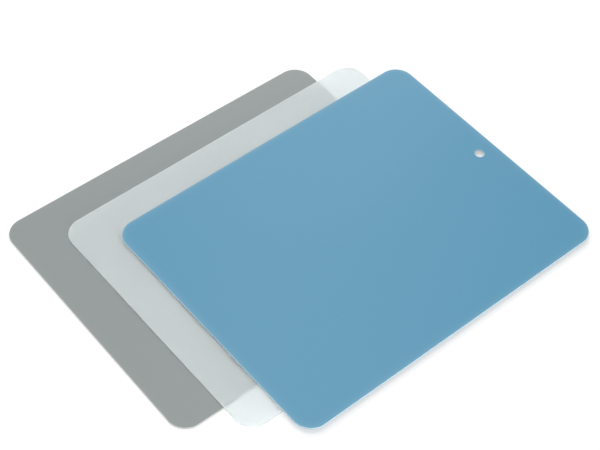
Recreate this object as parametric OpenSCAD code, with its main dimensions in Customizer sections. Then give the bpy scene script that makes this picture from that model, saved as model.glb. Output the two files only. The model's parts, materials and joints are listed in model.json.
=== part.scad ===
// Set of three flexible cutting mats, fanned out on a worktop.
// Each mat is one die-cut plastic sheet with round corners and a hanging hole.
// X runs along the long side of the top mat, Y along its short side and Z up.
// The origin is on the worktop, under the middle of the whole set.

/* [Mat] */
// Long side of each mat
mat_length = 355.6; // [250:0.1:460]
// Short side of each mat
mat_depth = 279.4; // [180:0.1:380]
// Thickness of each plastic sheet
sheet_thickness = 1.5; // [0.8:0.1:3]
// Radius of the four corners, seen from above
corner_radius = 19; // [8:0.5:40]

/* [Cut edge] */
// Radius that the cutting die leaves along the upper edge
upper_edge_radius = 0.4; // [0.05:0.05:0.45]
// Radius along the lower edge
lower_edge_radius = 0.2; // [0.05:0.05:0.3]

/* [Hanging hole] */
// Diameter of the hole at its straight wall
hole_diameter = 9.5; // [5:0.1:14]
// From the right short edge to the middle of the hole
hole_inset = 19; // [10:0.5:40]

/* [Fan] */
// How far the frosted mat lies to the left of the blue one
frosted_shift_left = 37; // [0:0.5:90]
// How far the frosted mat lies behind the blue one
frosted_shift_back = 33.5; // [0:0.5:90]
// How far the grey mat lies to the left of the frosted one
grey_shift_left = 43.5; // [0:0.5:90]
// How far the grey mat lies behind the frosted one
grey_shift_back = 33; // [0:0.5:90]
// Turn of the grey mat about its own middle, clockwise from above, in degrees
grey_turn = 0.5; // [0:0.1:5]
// Air film between one mat and the next
air_film = 0.2; // [0.1:0.05:0.5]

/* [Colours] */
// Colour of the top mat
blue_colour = [0.42, 0.64, 0.75];
// Colour of the middle mat, with how solid it looks
frosted_colour = [0.93, 0.95, 0.95, 0.55];
// Colour of the bottom mat
grey_colour = [0.61, 0.63, 0.63];

/* [Hidden] */
$fn = 96;

hole_radius = hole_diameter / 2;
edge_band = max(upper_edge_radius, lower_edge_radius);
layer_pitch = sheet_thickness + air_film;

// Middles of the three mats, seen from the middle of the blue one
blue_middle = [0, 0];
frosted_middle = [-frosted_shift_left, frosted_shift_back];
grey_middle = frosted_middle + [-grey_shift_left, grey_shift_back];

// Half the width and half the depth that a turned mat takes up
function half_reach(along, across, turn) =
    (along / 2 - corner_radius) * cos(turn)
    + (across / 2 - corner_radius) * abs(sin(turn))
    + corner_radius;
level_reach = [mat_length / 2, mat_depth / 2];
grey_reach = [
    half_reach(mat_length, mat_depth, grey_turn),
    half_reach(mat_depth, mat_length, grey_turn)
];

// Box of the whole fan, and its middle
lowest = [for (i = [0, 1]) min(
    blue_middle[i] - level_reach[i],
    frosted_middle[i] - level_reach[i],
    grey_middle[i] - grey_reach[i]
)];
highest = [for (i = [0, 1]) max(
    blue_middle[i] + level_reach[i],
    frosted_middle[i] + level_reach[i],
    grey_middle[i] + grey_reach[i]
)];
fan_middle = (lowest + highest) / 2;

// Section of the sheet out to its cut edge, with the edge at x = reach
module edge_section(reach) {
    square([reach - edge_band, sheet_thickness]);
    translate([0, lower_edge_radius])
        square([reach, sheet_thickness - upper_edge_radius - lower_edge_radius]);
    translate([0, sheet_thickness / 2])
        square([reach - upper_edge_radius, sheet_thickness / 2]);
    square([reach - lower_edge_radius, sheet_thickness / 2]);
    translate([reach - upper_edge_radius, sheet_thickness - upper_edge_radius])
        circle(upper_edge_radius);
    translate([reach - lower_edge_radius, lower_edge_radius])
        circle(lower_edge_radius);
}

// Straight run of the edge, facing +X
module edge_run(run) {
    rotate([90, 0, 0])
        linear_extrude(height = run, center = true)
            edge_section(corner_radius);
}

// Corner between two runs, facing +X and +Y
module edge_corner() {
    rotate_extrude(angle = 90)
        edge_section(corner_radius);
}

// Blank sheet, before the hole is punched
module blank() {
    core = [mat_length - 2 * corner_radius, mat_depth - 2 * corner_radius];
    translate([-core[0] / 2, -core[1] / 2, 0])
        cube([core[0], core[1], sheet_thickness]);
    for (side = [0, 1]) {
        rotate([0, 0, 180 * side]) {
            translate([core[0] / 2, 0, 0])
                edge_run(core[1]);
            translate([core[0] / 2, core[1] / 2, 0])
                edge_corner();
        }
        rotate([0, 0, 90 + 180 * side]) {
            translate([core[1] / 2, 0, 0])
                edge_run(core[0]);
            translate([core[1] / 2, core[0] / 2, 0])
                edge_corner();
        }
    }
}

// What the punch takes out, with the rim's own edge radii round the hole
module punched_slug() {
    rotate_extrude()
        difference() {
            square([hole_radius + edge_band, sheet_thickness]);
            translate([hole_radius + corner_radius, 0])
                mirror([1, 0])
                    edge_section(corner_radius);
        }
}

module mat() {
    difference() {
        blank();
        translate([mat_length / 2 - hole_inset, 0, 0])
            punched_slug();
    }
}

// Puts a mat on its layer of the fan
module on_layer(layer, middle, turn) {
    translate([middle[0] - fan_middle[0], middle[1] - fan_middle[1], layer * layer_pitch])
        rotate([0, 0, -turn])
            children();
}

module grey_mat() {
    color(grey_colour)
        on_layer(0, grey_middle, grey_turn)
            mat();
}

module frosted_mat() {
    color(frosted_colour)
        on_layer(1, frosted_middle, 0)
            mat();
}

module blue_mat() {
    color(blue_colour)
        on_layer(2, blue_middle, 0)
            mat();
}

grey_mat();
frosted_mat();
blue_mat();
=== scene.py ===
import json
import math

import bmesh
import bpy
from mathutils import Matrix, Vector


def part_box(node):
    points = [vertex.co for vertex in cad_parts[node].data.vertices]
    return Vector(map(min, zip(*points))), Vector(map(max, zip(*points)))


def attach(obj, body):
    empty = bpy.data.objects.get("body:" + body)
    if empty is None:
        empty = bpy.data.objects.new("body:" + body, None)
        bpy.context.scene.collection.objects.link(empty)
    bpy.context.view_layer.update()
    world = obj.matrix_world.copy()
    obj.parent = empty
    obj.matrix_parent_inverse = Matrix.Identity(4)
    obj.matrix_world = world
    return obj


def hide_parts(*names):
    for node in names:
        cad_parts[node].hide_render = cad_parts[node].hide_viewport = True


# A fanned set of three flexible cutting mats on a white worktop.
# Lengths are in metres and angles in degrees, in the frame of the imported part.

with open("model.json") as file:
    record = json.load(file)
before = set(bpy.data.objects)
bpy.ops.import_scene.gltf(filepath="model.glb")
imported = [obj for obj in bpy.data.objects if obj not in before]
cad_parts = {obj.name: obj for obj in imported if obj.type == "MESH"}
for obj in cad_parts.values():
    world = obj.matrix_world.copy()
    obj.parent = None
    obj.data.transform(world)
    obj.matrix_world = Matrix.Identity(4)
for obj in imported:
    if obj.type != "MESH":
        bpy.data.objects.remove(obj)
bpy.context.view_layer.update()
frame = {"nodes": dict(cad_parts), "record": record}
mounts = {mount["name"]: mount for mount in frame["record"]["mounts"]}
print("frame loaded:", ", ".join(sorted(frame["nodes"])))


def direction(heading, height):
    # Turned from +X towards +Y by the heading, and raised from level by the height, in radians
    level = math.cos(height)
    return Vector((math.cos(heading) * level, math.sin(heading) * level, math.sin(height)))


# Camera, worked out from the straight edges of the three mats
camera = {
    "place": (-0.6021, -0.6535, 1.1182),
    "heading": 47.405,       # from +X towards +Y
    "tilt": 51.2,            # down from level
    "roll": 3.542,
    "lens": 91.74,           # mm
    "sensorWidth": 36,       # mm
}


def placeCamera(values):
    heading, tilt, roll = (math.radians(values[key]) for key in ("heading", "tilt", "roll"))
    forward = direction(heading, -tilt)
    level = Vector((math.sin(heading), -math.cos(heading), 0))
    above = level.cross(forward)
    right = math.cos(roll) * level + math.sin(roll) * above
    up = math.cos(roll) * above - math.sin(roll) * level
    data = bpy.data.cameras.new("photoCamera")
    data.lens = values["lens"]
    data.sensor_width = values["sensorWidth"]
    thing = bpy.data.objects.new("photoCamera", data)
    axes = Matrix((right, up, -forward)).transposed().to_4x4()
    thing.matrix_world = Matrix.Translation(values["place"]) @ axes
    bpy.context.scene.collection.objects.link(thing)
    bpy.context.scene.camera = thing


placeCamera(camera)
print("camera placed")


# One mat: a grid of quads over each face, with a ring of quads round the hole,
# and the section of the cut edge run round the outline and round the hole's lip
mat = {
    "cornerRadius": 0.019,
    "upperEdgeRadius": 0.0004,
    "lowerEdgeRadius": 0.0002,
    "cornerCells": 10,       # across a corner, so a corner's arc has twice as many
    "holeCells": 5,          # from the middle of the hole to the side of its patch
    "longCells": 33,         # from the left corners to the hole's patch
    "shortCells": 12,        # from a right corner to the hole's patch
    "holeRings": 4,          # from the side of the patch to the hole
    "upperSteps": 4,         # round the upper edge
    "wallSteps": 3,          # down the cut face
    "lowerSteps": 3,         # round the lower edge
    "paintedGlowReach": 0.0022,    # how far from the outer cut the painted highlight on the faces falls off
    "holeWallLitShare": 0.6,      # how much of the cut's look, with its painted light, the punched wall of the hole has; less than the outer cut, as painted shade for the wall down in the hole
    "rounding": 1e-9,        # a point that is past a straight stretch by less than this is on it
}


def spread(start, end, cells):
    return [start + (end - start) * i / cells for i in range(cells + 1)]


def squareWalk(reach):
    # Grid steps round a square, from the middle of its right side and to the left
    return (
        [(reach, j) for j in range(reach)]
        + [(i, reach) for i in range(reach, -reach, -1)]
        + [(-reach, j) for j in range(reach, -reach, -1)]
        + [(i, -reach) for i in range(-reach, reach)]
        + [(reach, j) for j in range(-reach, 0)]
    )


def ringWays(count):
    # Ways out from the middle of a ring of points
    angles = [2 * math.pi * k / count for k in range(count)]
    return [Vector((math.cos(angle), math.sin(angle))) for angle in angles]


def edgeSection(thickness, values):
    # Inset from the outline, height and tilt of the surface, from the upper face round to the lower
    upper, lower = values["upperEdgeRadius"], values["lowerEdgeRadius"]
    section = []
    for tilt in spread(90, 0, values["upperSteps"]):
        turn = math.radians(tilt)
        section.append((upper * (1 - math.cos(turn)), thickness - upper * (1 - math.sin(turn)), turn))
    for height in spread(thickness - upper, lower, values["wallSteps"])[1:-1]:
        section.append((0, height, 0))
    for tilt in spread(0, -90, values["lowerSteps"]):
        turn = math.radians(tilt)
        section.append((lower * (1 - math.cos(turn)), lower * (1 + math.sin(turn)), turn))
    return section


def buildMat(name, node, holeMount, values):
    # The turned mat's box is wider than the mat, so the level blue one gives the size of all three
    low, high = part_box(node)
    blueLow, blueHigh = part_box("blue_mat")
    halfLength, halfDepth = (blueHigh.x - blueLow.x) / 2, (blueHigh.y - blueLow.y) / 2
    middle, thickness = (low + high) / 2, high.z - low.z
    holePlace = Vector(mounts[holeMount]["pos_m"]) - middle
    holeReach = math.hypot(holePlace.x, holePlace.y)
    holeRadius = mounts[holeMount]["dims"]["r_mm"] / 1000
    turn = math.atan2(holePlace.y, holePlace.x)
    radius = values["cornerRadius"]
    core = (halfLength - radius, halfDepth - radius)
    patch = radius * values["holeCells"] / values["cornerCells"]
    bm = bmesh.new()
    cutFace = bm.verts.layers.float.new("cutFace")
    cutHeight = bm.verts.layers.float.new("cutHeight")
    paintedGlowFalloff = bm.verts.layers.float.new("paintedGlowFalloff")
    normals = []

    def addPoint(x, y, z, normal, cut):
        away = Vector((max(abs(x) - core[0], 0), max(abs(y) - core[1], 0))).length
        point = bm.verts.new((x, y, z))
        point[cutFace] = cut
        point[cutHeight] = z / thickness
        # Falls off from the outer cut, for the painted highlight along the faces' edge
        point[paintedGlowFalloff] = math.exp(-max(radius - away, 0) / values["paintedGlowReach"])
        normals.append(Vector(normal))
        return point

    def joinUp(corners, up):
        bm.faces.new(corners if up else corners[::-1]).smooth = True

    def joinLoops(outer, inner, up):
        for k in range(len(outer)):
            after = (k + 1) % len(outer)
            joinUp([outer[k], outer[after], inner[after], inner[k]], up)

    def bent(x, y):
        # The grid's square corners bent to the mat's round ones, with the way out to the edge
        across, along = max(abs(x) - core[0], 0), max(abs(y) - core[1], 0)
        wide = max(across, along)
        if wide < values["rounding"]:
            return x, y, 0
        if across >= along:
            angle = math.pi / 4 * along / across
        else:
            angle = math.pi / 2 - math.pi / 4 * across / along
        bentX = min(abs(x), core[0]) + (wide * math.cos(angle) if across > 0 else 0)
        bentY = min(abs(y), core[1]) + (wide * math.sin(angle) if along > 0 else 0)
        return math.copysign(bentX, x), math.copysign(bentY, y), angle

    def addFace(inset, z, up):
        # Returns the outline's points with their ways out, and the points round the hole
        reachX, reachY, normal = halfLength - inset, halfDepth - inset, (0, 0, 1 if up else -1)
        xs = (
            spread(-reachX, -core[0], values["cornerCells"])
            + spread(-core[0], core[0] - patch, values["longCells"])[1:]
            + spread(core[0] - patch, core[0], values["holeCells"])[1:]
            + spread(core[0], reachX, values["cornerCells"])[1:]
        )
        ys = (
            spread(-reachY, -core[1], values["cornerCells"])
            + spread(-core[1], -patch, values["shortCells"])[1:]
            + spread(-patch, patch, 2 * values["holeCells"])[1:]
            + spread(patch, core[1], values["shortCells"])[1:]
            + spread(core[1], reachY, values["cornerCells"])[1:]
        )
        holeI, holeJ = len(xs) - 1 - values["cornerCells"], len(ys) // 2
        nearHole = values["holeCells"]
        points, ways = {}, {}
        for i, x in enumerate(xs):
            for j, y in enumerate(ys):
                if abs(i - holeI) < nearHole and abs(j - holeJ) < nearHole:
                    continue
                px, py, angle = bent(x, y)
                points[i, j] = addPoint(px, py, z, normal, 0)
                ways[i, j] = Vector((math.copysign(math.cos(angle), x), math.copysign(math.sin(angle), y)))
        for i in range(len(xs) - 1):
            for j in range(len(ys) - 1):
                if holeI - nearHole <= i < holeI + nearHole and holeJ - nearHole <= j < holeJ + nearHole:
                    continue
                corners = [(i, j), (i + 1, j), (i + 1, j + 1), (i, j + 1)]
                joinUp([points[corner] for corner in corners], up)
        last, top = len(xs) - 1, len(ys) - 1
        walk = (
            [(i, 0) for i in range(last)]
            + [(last, j) for j in range(top)]
            + [(i, top) for i in range(last, 0, -1)]
            + [(0, j) for j in range(top, 0, -1)]
        )
        outline = [(points[spot], ways[spot]) for spot in walk]
        loop = [points[holeI + i, holeJ + j] for i, j in squareWalk(nearHole)]
        starts = [Vector(point.co) for point in loop]
        for ring in range(1, values["holeRings"] + 1):
            share = ring / values["holeRings"]
            inner = []
            for start, way in zip(starts, ringWays(len(starts))):
                end = Vector((holeReach, 0, z)) + (holeRadius + inset) * way.to_3d()
                place = start.lerp(end, share)
                inner.append(addPoint(place.x, place.y, z, normal, 0))
            joinLoops(loop, inner, up)
            loop = inner
        return outline, loop

    upperOutline, upperHole = addFace(values["upperEdgeRadius"], thickness, True)
    lowerOutline, lowerHole = addFace(values["lowerEdgeRadius"], 0, False)
    outer, hole = [point for point, way in upperOutline], upperHole
    for inset, height, tilt in edgeSection(thickness, values)[1:-1]:
        outerNext, holeNext = [], []
        for point, way in upperOutline:
            out = way * (values["upperEdgeRadius"] - inset)
            normal = (way.x * math.cos(tilt), way.y * math.cos(tilt), math.sin(tilt))
            outerNext.append(addPoint(point.co.x + out.x, point.co.y + out.y, height, normal, 1))
        for way in ringWays(len(hole)):
            normal = (-way.x * math.cos(tilt), -way.y * math.cos(tilt), math.sin(tilt))
            spot = way * (holeRadius + inset)
            holeNext.append(addPoint(holeReach + spot.x, spot.y, height, normal, values["holeWallLitShare"]))
        joinLoops(outer, outerNext, False)
        joinLoops(hole, holeNext, True)
        outer, hole = outerNext, holeNext
    joinLoops(outer, [point for point, way in lowerOutline], False)
    joinLoops(hole, lowerHole, True)

    mesh = bpy.data.meshes.new(name)
    bm.to_mesh(mesh)
    bm.free()
    turned = Matrix.Rotation(turn, 4, "Z")
    mesh.transform(Matrix.Translation((middle.x, middle.y, low.z)) @ turned)
    mesh.normals_split_custom_set_from_vertices([turned @ normal for normal in normals])
    thing = bpy.data.objects.new(name, mesh)
    bpy.context.scene.collection.objects.link(thing)
    return thing


# Nodes for the materials and the world
def feed(tree, socket, value):
    # A socket takes another node's output or a fixed value
    if isinstance(value, bpy.types.NodeSocket):
        tree.links.new(value, socket)
    else:
        socket.default_value = value


def addNode(tree, kind, place, settings=None, **values):
    node = tree.nodes.new("ShaderNode" + kind)
    node.location = place
    for key, value in (settings or {}).items():
        setattr(node, key, value)
    for key, value in values.items():
        feed(tree, node.inputs[key.replace("_", " ")], value)
    return node


def maths(tree, operation, place, first, second):
    node = addNode(tree, "Math", place, {"operation": operation})
    for socket, value in zip(node.inputs, (first, second)):
        feed(tree, socket, value)
    return node.outputs[0]


# A Mix node has sockets for every kind of data: its share, the two that it mixes and the result
mixSockets = {"FLOAT": (0, 2, 3, 0), "RGBA": (0, 6, 7, 2)}


def mix(tree, kind, place, share, first, second):
    node = addNode(tree, "Mix", place, {"data_type": kind})
    *taken, given = mixSockets[kind]
    for number, value in zip(taken, (share, first, second)):
        feed(tree, node.inputs[number], value)
    return node.outputs[given]


# Shader groups that the three plastics share
def newGroup(name, inputs, outputs):
    tree = bpy.data.node_groups.new(name, "ShaderNodeTree")
    for label, kind in inputs:
        tree.interface.new_socket(name=label, in_out="INPUT", socket_type="NodeSocket" + kind)
    for label, kind in outputs:
        tree.interface.new_socket(name=label, in_out="OUTPUT", socket_type="NodeSocket" + kind)
    start, end = tree.nodes.new("NodeGroupInput"), tree.nodes.new("NodeGroupOutput")
    start.location, end.location = (-900, 0), (500, 0)
    return tree, start.outputs, end.inputs


grain = {
    "pebbleDetail": 3,
    "pebbleRoughness": 0.55,
    "pitSoftness": 0.8,
    "pitShare": 0.45,        # of the pits in the height, beside the pebble
    "cloudDetail": 2,
    "cloudRoughness": 0.5,
    "depth": 0.0001,         # of the bump at full strength
}


def makeCalenderGrain(values):
    # The fine pebble that the calender rolls leave, with a slower unevenness under it
    tree, given, wanted = newGroup(
        "calenderGrain",
        [("Vector", "Vector"), ("Pebble Scale", "Float"), ("Cloud Scale", "Float")],
        [("Height", "Float"), ("Cloud", "Float")],
    )
    place, fine, broad = given["Vector"], given["Pebble Scale"], given["Cloud Scale"]
    pebble = addNode(tree, "TexNoise", (-600, 200), Vector=place, Scale=fine,
                     Detail=values["pebbleDetail"], Roughness=values["pebbleRoughness"])
    pits = addNode(tree, "TexVoronoi", (-600, -50), {"feature": "SMOOTH_F1"}, Vector=place, Scale=fine,
                   Smoothness=values["pitSoftness"])
    cloud = addNode(tree, "TexNoise", (-600, -320), Vector=place, Scale=broad,
                    Detail=values["cloudDetail"], Roughness=values["cloudRoughness"])
    pitted = maths(tree, "MULTIPLY", (-350, -50), pits.outputs["Distance"], values["pitShare"])
    height = maths(tree, "ADD", (-150, 100), pebble.outputs["Fac"], pitted)
    tree.links.new(height, wanted["Height"])
    tree.links.new(cloud.outputs["Fac"], wanted["Cloud"])
    return tree


# The painted shade at the foot of the cut, in shares of the sheet's thickness
footShadeSpan = {
    "fades": 0.1,            # where the painted shade starts to give way to the cut's colour
    "ends": 0.45,
}


def makeCutEdgeWithPaintedLight(values):
    # Gives the cut face its lighter colour with painted light, paints a fainter highlight on the faces beside
    # it, and paints shade on the foot of the cut
    tree, given, wanted = newGroup(
        "cutEdgeWithPaintedLight",
        [("Face Colour", "Color"), ("Cut Colour", "Color"), ("Foot Colour", "Color"),
         ("Cut Face", "Float"), ("Cut Height", "Float"), ("Brink", "Float"), ("Glow", "Float")],
        [("Colour", "Color")],
    )
    # The painted highlight on the faces beside the outer cut
    paintedGlow = maths(tree, "MULTIPLY", (-650, -250), given["Brink"], given["Glow"])
    lit = mix(tree, "RGBA", (-400, 100), paintedGlow, given["Face Colour"], given["Cut Colour"])
    step = addNode(tree, "MapRange", (-650, -450), Value=given["Cut Height"],
                   From_Min=values["fades"], From_Max=values["ends"])
    rise = step.outputs["Result"]
    # Painted shade at the foot of the cut, fading up the cut face
    cutWithFootShade = mix(tree, "RGBA", (-400, -250), rise, given["Foot Colour"], given["Cut Colour"])
    colour = mix(tree, "RGBA", (-100, 0), given["Cut Face"], lit, cutWithFootShade)
    tree.links.new(colour, wanted["Colour"])
    return tree


calenderGrain = makeCalenderGrain(grain)
cutEdgeWithPaintedLight = makeCutEdgeWithPaintedLight(footShadeSpan)

# In each plastic, the cut colour is lighter than the face, partly the cut's own colour and partly painted
# light along the edge; the foot colour is painted shade at the foot of the cut; the glow is a painted
# highlight on the faces near the outer cut.
greyPlastic = {
    "colour": (0.269, 0.299, 0.294, 1),
    "shade": (0.258, 0.287, 0.282, 1),
    "cutColourAndPaintedLight": (0.66, 0.69, 0.68, 1),
    "paintedFootShade": (0.60, 0.63, 0.62, 1),
    "paintedGlow": 0.05,            # share of the cut's colour painted on the brink of the faces as a highlight
    "roughness": 0.48,
    "roughnessChange": 0.03,
    "cutRoughness": 0.62,
    "pebbleScale": 2600,
    "cloudScale": 9,
    "bump": 0.22,
    "clearness": 0,
    "bending": 1.5,          # index of refraction
}

frostedPlastic = {
    "colour": (0.868, 0.898, 0.902, 1),
    "shade": (0.860, 0.890, 0.894, 1),
    "cutColourAndPaintedLight": (0.94, 0.96, 0.96, 1),
    "paintedFootShade": (0.74, 0.77, 0.77, 1),
    "paintedGlow": 0.3,
    "roughness": 0.95,
    "roughnessChange": 0.03,
    "cutRoughness": 0.95,
    "pebbleScale": 2200,
    "cloudScale": 9,
    "bump": 0.3,
    "clearness": 0.69,       # of one face; light passes two on its way through
    "bending": 1.45,
}

bluePlastic = {
    "colour": (0.081, 0.292, 0.453, 1),
    "shade": (0.077, 0.285, 0.444, 1),
    "cutColourAndPaintedLight": (0.60, 0.80, 0.90, 1),
    "paintedFootShade": (0.44, 0.62, 0.71, 1),
    "paintedGlow": 0.14,
    "roughness": 0.46,
    "roughnessChange": 0.03,
    "cutRoughness": 0.6,
    "pebbleScale": 2600,
    "cloudScale": 9,
    "bump": 0.22,
    "clearness": 0,
    "bending": 1.5,
}


def makePlastic(name, values):
    material = bpy.data.materials.new(name)
    material.use_nodes = True
    tree = material.node_tree
    tree.nodes.clear()
    place = addNode(tree, "TexCoord", (-1200, 0)).outputs["Object"]
    skin = addNode(tree, "Group", (-950, 0), {"node_tree": calenderGrain}, Vector=place,
                   Pebble_Scale=values["pebbleScale"], Cloud_Scale=values["cloudScale"])
    masks = {}
    for row, label in enumerate(("cutFace", "cutHeight", "paintedGlowFalloff")):
        mask = addNode(tree, "Attribute", (-950, -250 - 180 * row), {"attribute_name": label})
        masks[label] = mask.outputs["Fac"]
    cloud = skin.outputs["Cloud"]
    cloudy = mix(tree, "RGBA", (-650, 150), cloud, values["shade"], values["colour"])
    # The cut's colour with painted light, a painted highlight near the outer cut and painted shade at the
    # cut's foot
    edge = addNode(tree, "Group", (-350, 150), {"node_tree": cutEdgeWithPaintedLight}, Face_Colour=cloudy,
                   Cut_Colour=values["cutColourAndPaintedLight"], Foot_Colour=values["paintedFootShade"],
                   Cut_Face=masks["cutFace"], Cut_Height=masks["cutHeight"],
                   Brink=masks["paintedGlowFalloff"], Glow=values["paintedGlow"])
    rough = addNode(tree, "MapRange", (-350, -150), Value=cloud,
                    To_Min=values["roughness"] - values["roughnessChange"],
                    To_Max=values["roughness"] + values["roughnessChange"])
    roughness = mix(tree, "FLOAT", (-100, -150), masks["cutFace"],
                    rough.outputs["Result"], values["cutRoughness"])
    bump = addNode(tree, "Bump", (0, -400), Height=skin.outputs["Height"], Strength=values["bump"],
                   Distance=grain["depth"])
    shader = addNode(tree, "BsdfPrincipled", (300, 0), Base_Color=edge.outputs["Colour"], Roughness=roughness,
                     Normal=bump.outputs["Normal"], Transmission_Weight=values["clearness"],
                     IOR=values["bending"])
    addNode(tree, "OutputMaterial", (650, 0), Surface=shader.outputs[0])
    return material


# From the worktop up
pieces = (
    ("greyMat", "grey_mat", "grey", "grey_plastic", "grey_hanging_hole", "greyPlastic", greyPlastic),
    ("frostedMat", "frosted_mat", "frosted", "frosted_plastic", "frosted_hanging_hole",
     "frostedPlastic", frostedPlastic),
    ("blueMat", "blue_mat", "blue", "blue_plastic", "blue_hanging_hole", "bluePlastic", bluePlastic),
)
for name, node, body, slot, holeMount, plastic, values in pieces:
    piece = buildMat(name, node, holeMount, mat)
    piece.data.materials.append(makePlastic(plastic, values))
    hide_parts(node)
    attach(piece, body)
    print(name, "built:", len(piece.data.polygons), "faces")


# White worktop and backdrop
worktop = {
    "side": 6.0,
    "level": -0.0001,
    "colour": (0.72, 0.72, 0.72, 1),
    "ownLight": 0.37,        # only for what sees it, so that it stays white and keeps the shadows
    "farLight": 0.85,        # the same, out where the softboxes don't reach
    "fade": (0.45, 1.2),     # from the middle of the mats to where the far light starts and is full
}


def seenDirectly(tree, place):
    # 1 for the camera, and for what is mirrored or seen through the frosted mat
    path = addNode(tree, "LightPath", place)
    seen = path.outputs["Is Camera Ray"]
    for label in ("Is Glossy Ray", "Is Transmission Ray"):
        place = (place[0] + 200, place[1])
        seen = maths(tree, "MAXIMUM", place, seen, path.outputs[label])
    return seen


def buildWorktop(values):
    half = values["side"] / 2
    corners = [(x * half, y * half, values["level"]) for x, y in ((-1, -1), (1, -1), (1, 1), (-1, 1))]
    mesh = bpy.data.meshes.new("worktop")
    mesh.from_pydata(corners, [], [(0, 1, 2, 3)])
    thing = bpy.data.objects.new("worktop", mesh)
    bpy.context.scene.collection.objects.link(thing)
    material = bpy.data.materials.new("whiteWorktop")
    material.use_nodes = True
    tree = material.node_tree
    tree.nodes.clear()
    diffuse = addNode(tree, "BsdfDiffuse", (0, 100), Color=values["colour"])
    place = addNode(tree, "TexCoord", (-900, -450)).outputs["Object"]
    reach = addNode(tree, "VectorMath", (-700, -450), {"operation": "LENGTH"}, Vector=place)
    start, end = values["fade"]
    own = addNode(tree, "MapRange", (-400, -450), {"interpolation_type": "SMOOTHSTEP"},
                  Value=reach.outputs["Value"], From_Min=start, From_Max=end,
                  To_Min=values["ownLight"], To_Max=values["farLight"])
    seen = seenDirectly(tree, (-700, -150))
    strength = maths(tree, "MULTIPLY", (-100, -150), seen, own.outputs["Result"])
    paintedGlow = addNode(tree, "Emission", (100, -150), Strength=strength)
    both = addNode(tree, "AddShader", (300, 0))
    tree.links.new(diffuse.outputs[0], both.inputs[0])
    tree.links.new(paintedGlow.outputs[0], both.inputs[1])
    addNode(tree, "OutputMaterial", (500, 0), Surface=both.outputs[0])
    mesh.materials.append(material)


buildWorktop(worktop)

lighting = {
    "fill": 0.28,            # even light from all round
    "backdrop": 1.0,         # white, only for what sees it
    # Power in watts, width and height, distance from the mats, heading from +X towards +Y
    # and height above level
    "softboxes": {
        "backSoftbox": {"power": 7.9, "size": (1.8, 1.0), "distance": 1.8, "heading": 96, "height": 40},
        "topSoftbox": {"power": 4.3, "size": (0.4, 0.4), "distance": 1.5, "heading": 48, "height": 72},
        "farSoftbox": {"power": 4.0, "size": (0.5, 0.4), "distance": 1.6, "heading": 44, "height": 37},
        "cameraSoftbox": {"power": 7.1, "size": (0.8, 0.8), "distance": 1.6, "heading": -130, "height": 50},
        "frontSoftbox": {"power": 7.0, "size": (1.2, 0.25), "distance": 1.3, "heading": -85, "height": 10},
    },
}


def lightWorld(values):
    world = bpy.data.worlds.new("studio")
    bpy.context.scene.world = world
    world.use_nodes = True
    tree = world.node_tree
    tree.nodes.clear()
    seen = seenDirectly(tree, (-700, 0))
    strength = mix(tree, "FLOAT", (0, 0), seen, values["fill"], values["backdrop"])
    background = addNode(tree, "Background", (200, 0), Color=(1, 1, 1, 1), Strength=strength)
    addNode(tree, "OutputWorld", (400, 0), Surface=background.outputs[0])


def addSoftbox(name, values):
    # Faces the middle of the mats
    away = direction(math.radians(values["heading"]), math.radians(values["height"]))
    data = bpy.data.lights.new(name, "AREA")
    data.shape = "RECTANGLE"
    data.size, data.size_y = values["size"]
    data.energy = values["power"]
    thing = bpy.data.objects.new(name, data)
    thing.location = away * values["distance"]
    thing.rotation_euler = away.to_track_quat("Z", "Y").to_euler()
    bpy.context.scene.collection.objects.link(thing)


lightWorld(lighting)
for name, values in lighting["softboxes"].items():
    addSoftbox(name, values)
bpy.context.scene.view_settings.view_transform = "Standard"
print("stage and lights set")
